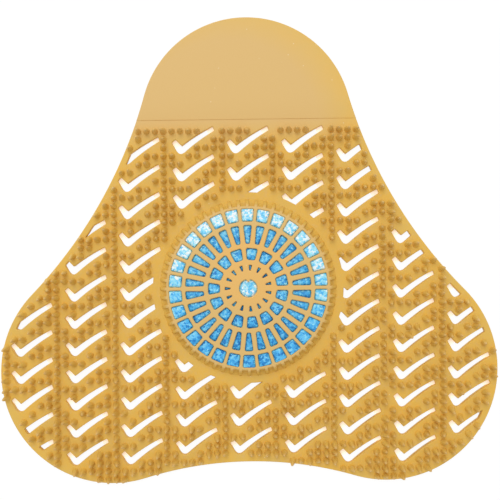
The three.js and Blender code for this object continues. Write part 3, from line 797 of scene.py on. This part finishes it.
def bristle_tree():
    """Stands a tapered peg with a flared root and a round tip on every point."""
    tree, given, result = new_tree("bristles_on_sites", (
        ("Height", "NodeSocketFloat"), ("Base Radius", "NodeSocketFloat"),
        ("Tip Radius", "NodeSocketFloat"), ("Lean", "NodeSocketFloat"),
        ("Spread", "NodeSocketFloat"), ("Seed", "NodeSocketInt"),
        ("Material", "NodeSocketMaterial")))
    # The axis starts a little below the sheet's top, inside the sheet.
    root = add(tree, "ShaderNodeCombineXYZ", {2: -0.15 * MM})
    tip = add(tree, "ShaderNodeCombineXYZ", {2: given.outputs["Height"]})
    axis = add(tree, "GeometryNodeCurvePrimitiveLine", {
        "Start": root.outputs[0], "End": tip.outputs[0]})
    rings = add(tree, "GeometryNodeResampleCurve", {"Curve": axis.outputs[0], "Count": 11})
    share = add(tree, "GeometryNodeSplineParameter").outputs["Factor"]
    taper = add(tree, "ShaderNodeMapRange", {
        0: share, 3: given.outputs["Base Radius"], 4: given.outputs["Tip Radius"]})
    # The last fifth rounds off to the tip, and the first eighth flares into the sheet.
    past = add(tree, "ShaderNodeMapRange", {0: share, 1: 0.8, 2: 1.0, 3: 0.0, 4: 0.985})
    squared = add(tree, "ShaderNodeMath", {0: past.outputs[0], 1: 2.0}, operation="POWER")
    left = add(tree, "ShaderNodeMath", {0: 1.0, 1: squared.outputs[0]}, operation="SUBTRACT")
    dome = add(tree, "ShaderNodeMath", {0: left.outputs[0]}, operation="SQRT")
    flare = add(tree, "ShaderNodeMapRange", {0: share, 1: 0.0, 2: 0.12, 3: 1.12, 4: 1.0})
    shaped = add(tree, "ShaderNodeMath", {0: taper.outputs[0], 1: dome.outputs[0]},
                 operation="MULTIPLY")
    radius = add(tree, "ShaderNodeMath", {0: shaped.outputs[0], 1: flare.outputs[0]},
                 operation="MULTIPLY")
    ring = add(tree, "GeometryNodeCurvePrimitiveCircle", {"Resolution": 9, "Radius": 1.0})
    peg = add(tree, "GeometryNodeCurveToMesh", {
        "Curve": rings.outputs[0], "Profile Curve": ring.outputs[0],
        "Scale": radius.outputs[0], "Fill Caps": True})
    lean = add(tree, "ShaderNodeCombineXYZ", {0: given.outputs["Lean"]})
    most = add(tree, "ShaderNodeCombineXYZ", {
        0: given.outputs["Spread"], 1: given.outputs["Spread"], 2: math.pi})
    least = add(tree, "ShaderNodeVectorMath", {0: most.outputs[0], "Scale": -1.0},
                operation="SCALE")
    stray = add(tree, "FunctionNodeRandomValue", {
        0: least.outputs[0], 1: most.outputs[0], "Seed": given.outputs["Seed"]},
        data_type="FLOAT_VECTOR")
    turn = add(tree, "ShaderNodeVectorMath", {0: stray.outputs[0], 1: lean.outputs[0]},
               operation="ADD")
    angle = add(tree, "FunctionNodeEulerToRotation", {0: turn.outputs[0]})
    growth = add(tree, "FunctionNodeRandomValue", {
        2: 0.93, 3: 1.0, "Seed": given.outputs["Seed"]}, data_type="FLOAT")
    stand = add(tree, "GeometryNodeInstanceOnPoints", {
        "Points": given.outputs["Geometry"], "Instance": peg.outputs[0],
        "Rotation": angle.outputs[0], "Scale": growth.outputs[1]})
    real = add(tree, "GeometryNodeRealizeInstances", {0: stand.outputs[0]})
    painted = add(tree, "GeometryNodeSetMaterial", {
        "Geometry": real.outputs[0], "Material": given.outputs["Material"]})
    tree.links.new(painted.outputs[0], result.inputs[0])
    return tree


def round_tree():
    """Repeats the incoming piece round the Z axis."""
    tree, given, result = new_tree("repeat_round_axis", (
        ("Count", "NodeSocketInt"), ("Material", "NodeSocketMaterial")))
    sites = add(tree, "GeometryNodeMeshLine", {
        "Count": given.outputs["Count"], "Offset": (0.0, 0.0, 0.0)})
    pitch = add(tree, "ShaderNodeMath", {0: math.tau, 1: given.outputs["Count"]},
                operation="DIVIDE")
    order = add(tree, "GeometryNodeInputIndex")
    angle = add(tree, "ShaderNodeMath", {0: order.outputs[0], 1: pitch.outputs[0]},
                operation="MULTIPLY")
    turn = add(tree, "ShaderNodeCombineXYZ", {2: angle.outputs[0]})
    rotation = add(tree, "FunctionNodeEulerToRotation", {0: turn.outputs[0]})
    stand = add(tree, "GeometryNodeInstanceOnPoints", {
        "Points": sites.outputs[0], "Instance": given.outputs["Geometry"],
        "Rotation": rotation.outputs[0]})
    real = add(tree, "GeometryNodeRealizeInstances", {0: stand.outputs[0]})
    painted = add(tree, "GeometryNodeSetMaterial", {
        "Geometry": real.outputs[0], "Material": given.outputs["Material"]})
    tree.links.new(painted.outputs[0], result.inputs[0])
    return tree


def bristle_sites(sizes, slots):
    """Grid points that stand clear of the edge, the slots, the grille and the tab."""
    border = mat_outline(sizes.edge_border)
    middles = [(sum(loop, Vector((0, 0))) / len(loop), loop) for loop in slots]
    # A slot whose middle is further off than this doesn't come near a site.
    reach = SLOT_PITCH.x
    sites = []
    # The columns and rows reach past the mat, and sites outside its border are left out.
    for column in range(-32, 33):
        for row in range(-25, 22):
            at = Vector((sizes.column_x + column * sizes.pitch_x, sizes.row_y + row * sizes.pitch_y))
            if at.y > sizes.top or at.length < sizes.grille_radius or not contains(border, at):
                continue
            close = [loop for middle, loop in middles if (middle - at).length < reach]
            if not any(contains(s, at) or distance(s, at) < sizes.slot_border for s in close):
                sites.append(at)
    return sites


def window_loops(rings):
    """The tapered windows of the grille or cover, with softened corners."""
    loops = []
    for count, inner, outer, inner_bar, outer_bar, corner, turn in rings:
        half = math.pi / count
        inner_half = inner * math.sin(half) - inner_bar / 2
        outer_half = outer * math.sin(half) - outer_bar / 2
        for i in range(count):
            angle = math.pi / 2 - 2 * half * (i + turn)
            loop = [turned(inner * MM, -inner_half * MM, angle),
                    turned(outer * MM, -outer_half * MM, angle),
                    turned(outer * MM, outer_half * MM, angle),
                    turned(inner * MM, inner_half * MM, angle)]
            loops.append(rounded(loop, corner * MM))
    return loops


def window_share(point, ramp=0.4):
    """How far a point lies inside a grille window: 0 under a bar, and 1 from a ramp's width off it,
    in millimetres."""
    radius = point.length / MM
    clear = settings().grille.centre_hole / MM - radius
    for count, inner, outer, inner_bar, outer_bar, _, turn in WINDOW_RINGS:
        if inner < radius < outer:
            pitch = math.tau / count
            turns = (math.pi / 2 - math.atan2(point.y, point.x)) / pitch - turn
            across = abs(turns - round(turns)) * pitch * radius
            along = (radius - inner) / (outer - inner)
            bar = inner_bar + (outer_bar - inner_bar) * along
            half = radius * math.sin(pitch / 2) - bar / 2
            clear = min(half - across, radius - inner, outer - radius)
            # The outermost ring's windows show the block right out to its rim.
            if outer == WINDOW_RINGS[0][2]:
                clear = min(half - across, radius - inner)
    return max(0.0, min(1.0, clear / ramp))


def centre_hole(radius, tooth_half=0.8 * MM, tooth_length=1.1 * MM):
    """The hole in the middle, with one small tooth that points down from its upper edge."""
    half_turn = math.asin(tooth_half / radius)
    start = math.pi / 2 + half_turn
    loop = arc(Vector((0, 0)), radius, start, start + math.tau - 2 * half_turn, 0.5 * MM)
    end = math.pi / 2 - half_turn
    loop.append(Vector((radius * math.cos(end), radius * math.sin(end))))
    loop.append(Vector((0, radius - tooth_length)))
    return loop


def rib_mesh(sizes, sheet_top):
    """One side rib: an upright fin that slopes from the rim down to the sheet."""
    slope = [(sizes.cavity_radius + 0.15 * MM, sizes.rim_height + 0.02 * MM),
             (sizes.rim_radius - 0.2 * MM, sizes.rim_height - 0.02 * MM),
             (sizes.rim_radius + 0.4 * MM, sizes.rim_height - 0.35 * MM),
             (sizes.base_radius - 0.6 * MM, sheet_top + 1.1 * MM),
             (sizes.base_radius, sheet_top + 0.1 * MM)]
    foot = [(sizes.base_radius, sheet_top - 0.4 * MM),
            (sizes.cavity_radius + 0.15 * MM, sheet_top - 0.4 * MM)]
    profile = foot[::-1] + slope[::-1]
    half = sizes.rib_width / 2
    mesh = bmesh.new()
    sides = [[mesh.verts.new((r, y, z)) for r, z in profile] for y in (-half, half)]
    count = len(profile)
    for i in range(count):
        j = (i + 1) % count
        mesh.faces.new((sides[0][i], sides[0][j], sides[1][j], sides[1][i]))
    mesh.faces.new(sides[0][::-1])
    mesh.faces.new(sides[1])
    bmesh.ops.recalc_face_normals(mesh, faces=mesh.faces)
    ridges = [e for e in mesh.edges if e.calc_face_angle(0) > math.radians(60)
              and min(v.co.z for v in e.verts) > sheet_top - 0.2 * MM]
    bmesh.ops.bevel(mesh, geom=ridges, offset=0.3 * MM, segments=3, profile=0.5, affect="EDGES")
    return finished_mesh("rib", mesh)


def settings():
    """The sizes and colours that the panel shows."""
    return bpy.context.scene.urinal_screen


def finish_of(name, make, *details):
    """The named material, made once."""
    return bpy.data.materials.get(name) or make(settings().colours, *details)


class SCREEN_OT_mat(bpy.types.Operator):
    """Build the moulded sheet with its tab and drain slots"""
    bl_idname = "urinal_screen.mat"
    bl_label = "Mat"

    def execute(self, context):
        sizes = settings().mat
        line = sizes.tab_from
        # The tab's panel begins with a small step, drawn as a slope this long.
        step = 0.12 * MM
        reach = TAB_RADIUS
        hub = arc(Vector((0, 0)), WALL_FOOT_RADIUS, 0, math.tau, 1.2 * MM)
        outline = with_crossings(mat_outline(), (line, line + step))
        slots = slot_loops()
        lift = lambda x, y: sizes.tab_rise * max(0.0, min(1.0, (y - line) / step))
        creases = [(Vector((-reach, y)), Vector((reach, y))) for y in (line, line + step)]
        top = sizes.thickness
        data = plate_mesh("mat_sheet", outline, [*slots, hub], 0.0, top, sizes.edge,
                          sizes.under_edge, lift, creases, plain=(hub,))
        eva = finish_of("moulded_gold_eva", moulded_eva)
        shown("mat_sheet", data, eva, "gold_eva", "screen")
        feathers = feather_mesh(FEATHER_LENGTH, FEATHER_SHARE * top)
        thin_eva = finish_of("feathered_gold_eva", feathered_eva)
        shown("mat_slot_feathers", feathers, thin_eva, "gold_eva", "screen")
        return {"FINISHED"}


class SCREEN_OT_bristles(bpy.types.Operator):
    """Stand the splash bristles on their grid"""
    bl_idname = "urinal_screen.bristles"
    bl_label = "Bristles"

    def execute(self, context):
        sizes = settings().bristles
        top = settings().mat.thickness
        sites = bristle_sites(sizes, slot_loops())
        data = bpy.data.meshes.new("bristle_sites")
        data.from_pydata([(p.x, p.y, top) for p in sites], [], [])
        source = bpy.data.objects.new("bristle_sites", data)
        context.scene.collection.objects.link(source)
        eva = finish_of("moulded_gold_eva", moulded_eva)
        pegs = applied(source, bristle_tree(), {
            "Height": sizes.height, "Base Radius": sizes.base_radius,
            "Tip Radius": sizes.tip_radius, "Lean": sizes.lean, "Spread": sizes.spread,
            "Seed": sizes.seed, "Material": eva})
        pegs.shade_smooth()
        shown("mat_bristles", pegs, eva, "gold_eva", "screen")
        return {"FINISHED"}


class SCREEN_OT_grille(bpy.types.Operator):
    """Build the round grille: its windowed top plate, side wall and ribs"""
    bl_idname = "urinal_screen.grille"
    bl_label = "Grille"

    def execute(self, context):
        sizes = settings().grille
        eva = finish_of("moulded_gold_eva", moulded_eva)
        top = settings().mat.thickness
        rise = lambda x, y: sizes.crown * (1 - (x * x + y * y) / sizes.rim_radius ** 2)
        rim = arc(Vector((0, 0)), sizes.rim_radius, 0, math.tau, 1.1 * MM)
        windows = [*window_loops(WINDOW_RINGS), centre_hole(sizes.centre_hole)]
        plate = plate_mesh("grille_plate", rim, windows, sizes.rim_height - sizes.wall,
                           sizes.rim_height, sizes.bar_edge, 0.2 * MM, rise,
                           rim_edge=0.75 * MM)
        shown("grille_plate", plate, eva, "gold_eva", "screen")
        wall = bmesh.new()
        lathe(wall, [
            (sizes.lip_radius, 0), (WALL_FOOT_RADIUS, 0), (WALL_FOOT_RADIUS, top - 0.1 * MM),
            (sizes.base_radius, top - 0.1 * MM), (sizes.base_radius - 0.2 * MM, top + 0.15 * MM),
            (sizes.base_radius - 0.8 * MM, top + 0.4 * MM),
            (sizes.backing_radius + 1.2 * MM, top + 1.3 * MM),
            (sizes.backing_radius + 0.4 * MM, top + 2.7 * MM),
            (sizes.backing_radius, sizes.rim_height - 0.6 * MM),
            (sizes.cavity_radius, sizes.rim_height - 0.6 * MM),
            (sizes.cavity_radius, POCKET_TOP), (POCKET_RADIUS, POCKET_TOP),
            (POCKET_RADIUS, SNAP_LIP), (sizes.lip_radius, SNAP_LIP)])
        shown("grille_wall", finished_mesh("grille_wall", wall), eva, "gold_eva", "screen")
        source = bpy.data.objects.new("rib", rib_mesh(sizes, top))
        context.scene.collection.objects.link(source)
        ribs = applied(source, round_tree(), {"Count": sizes.rib_count, "Material": eva})
        shown("grille_ribs", ribs, eva, "gold_eva", "screen")
        return {"FINISHED"}


class SCREEN_OT_block(bpy.types.Operator):
    """Build the pressed block of scented granules"""
    bl_idname = "urinal_screen.block"
    bl_label = "Scented block"

    def execute(self, context):
        sizes = settings().grille
        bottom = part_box("deodorant_block")[0].z
        radius, edge = sizes.block_radius, 0.15 * MM
        # The block's top follows the top plate, a little below it.
        rim = sizes.rim_height - sizes.wall - 0.25 * MM
        steps = 84
        dome = [(radius - edge) * i / steps for i in range(steps, -1, -1)]
        rise = lambda r: sizes.crown * (1 - (r / sizes.rim_radius) ** 2)
        profile = [(0, bottom), (radius - edge, bottom), (radius, bottom + edge),
                   (radius, rim - edge), *((r, rim + rise(r)) for r in dome)]
        mesh = bmesh.new()
        lathe(mesh, profile, 360)
        for vertex in mesh.verts:
            if vertex.co.z > rim - edge:
                cell = noise.voronoi(vertex.co / sizes.granule)[0][0]
                grit = noise.noise(vertex.co / (0.5 * sizes.granule))
                # The block swells up into the windows, and most of all into the outer ring's.
                outer_ring = vertex.co.to_2d().length > WINDOW_RINGS[0][1] * MM
                swell = (0.95 if outer_ring else 0.5) * MM * window_share(vertex.co.to_2d())
                vertex.co.z += swell + (0.12 * MM) * grit - 0.28 * MM * min(cell, 1.0)
        data = finished_mesh("scented_block", mesh, math.radians(60))
        granules = finish_of("pressed_scented_granules", pressed_block, sizes.granule)
        shown("scented_block", data, granules, "scented_block", "deodorant_block")
        return {"FINISHED"}


class SCREEN_OT_cover(bpy.types.Operator):
    """Build the slotted cover that holds the block from behind"""
    bl_idname = "urinal_screen.cover"
    bl_label = "Back cover"

    def execute(self, context):
        low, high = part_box("back_cover")
        radius = settings().grille.lip_radius - 0.3 * MM
        rim = arc(Vector((0, 0)), radius, 0, math.tau, 1.1 * MM)
        slots = window_loops((COVER_SLOTS,))
        data = plate_mesh("back_cover_disc", rim, slots, low.z, high.z, 0.2 * MM, 0.25 * MM)
        mesh = bmesh.new()
        mesh.from_mesh(data)
        lathe(mesh, [(radius - 0.2 * MM, FLANGE_BOTTOM), (high.x, FLANGE_BOTTOM),
                     (high.x, high.z), (radius - 0.2 * MM, high.z)])
        cover = finished_mesh("back_cover_disc", mesh)
        finish = finish_of("moulded_gold_polypropylene", moulded_cover)
        shown("back_cover_disc", cover, finish, "gold_cover", "back_cover")
        return {"FINISHED"}


class SCREEN_OT_stage(bpy.types.Operator):
    """Set the white floor, the soft light and the camera above the mat"""
    bl_idname = "urinal_screen.stage"
    bl_label = "Stage"

    def execute(self, context):
        scene = context.scene
        # The floor is 3 m square, and lies just under the mat.
        half = 1.5
        corners = [(-half, -half, 0), (half, -half, 0), (half, half, 0), (-half, half, 0)]
        floor_data = bpy.data.meshes.new("floor")
        floor_data.from_pydata(corners, [], [(0, 1, 2, 3)])
        floor_data.materials.append(finish_of("white_paper", white_floor))
        floor = bpy.data.objects.new("floor", floor_data)
        floor.location.z = -0.02 * MM
        scene.collection.objects.link(floor)
        # One large softbox stands high up beyond the tab, a little to the left.
        lamp = bpy.data.lights.new("key_softbox", "AREA")
        lamp.size = 1.2
        lamp.energy = 15.5
        light = bpy.data.objects.new("key_softbox", lamp)
        light.location = (-0.3, 1.1, 1.7)
        light.rotation_euler = (-light.location).to_track_quat("-Z", "Y").to_euler()
        scene.collection.objects.link(light)
        world = bpy.data.worlds.new("white_room")
        world.use_nodes = True
        tree = world.node_tree
        tree.nodes.clear()
        rays = add(tree, "ShaderNodeLightPath")
        strength = add(tree, "ShaderNodeMapRange", {
            0: rays.outputs["Is Camera Ray"], 3: 0.72, 4: 1.0})
        sky = add(tree, "ShaderNodeBackground", {
            0: (1.0, 1.0, 1.0, 1.0), 1: strength.outputs[0]})
        end = add(tree, "ShaderNodeOutputWorld", {0: sky.outputs[0]})
        scene.world = world
        scene.view_settings.view_transform = "Standard"
        # The photo was taken straight down from above the mat's middle, turned by 0.7 degrees.
        height = 260 * MM
        view_width = 191.15 * MM
        eye = bpy.data.cameras.new("camera")
        eye.sensor_width = 36
        eye.lens = eye.sensor_width * height / view_width
        camera = bpy.data.objects.new("camera", eye)
        camera.location = (0.83 * MM, 14.37 * MM, height + settings().mat.thickness)
        camera.rotation_euler = (0, 0, -math.radians(0.72))
        scene.collection.objects.link(camera)
        scene.camera = camera
        return {"FINISHED"}


OPERATORS = (SCREEN_OT_stage, SCREEN_OT_mat, SCREEN_OT_bristles, SCREEN_OT_grille,
             SCREEN_OT_block, SCREEN_OT_cover)


class SCREEN_PT_build(bpy.types.Panel):
    """Lists the steps that dress the deodorizer screen"""
    bl_label = "Deodorizer screen"
    bl_space_type = "VIEW_3D"
    bl_region_type = "UI"
    bl_category = "Screen"

    def draw(self, context):
        for operator in OPERATORS:
            self.layout.operator(operator.bl_idname)
        for group in (settings().mat, settings().bristles, settings().grille, settings().colours):
            box = self.layout.box()
            for name in group.__annotations__:
                box.prop(group, name)


CLASSES = (MatSizes, BristleSizes, GrilleSizes, FinishColours, ScreenSettings,
           *OPERATORS, SCREEN_PT_build)


def register():
    for cls in CLASSES:
        bpy.utils.register_class(cls)
    bpy.types.Scene.urinal_screen = bpy.props.PointerProperty(type=ScreenSettings)


def unregister():
    del bpy.types.Scene.urinal_screen
    for cls in reversed(CLASSES):
        bpy.utils.unregister_class(cls)


def main():
    register()
    bpy.ops.urinal_screen.stage()
    bpy.ops.urinal_screen.mat()
    bpy.ops.urinal_screen.bristles()
    bpy.ops.urinal_screen.grille()
    bpy.ops.urinal_screen.block()
    bpy.ops.urinal_screen.cover()


if __name__ == "__main__":
    main()
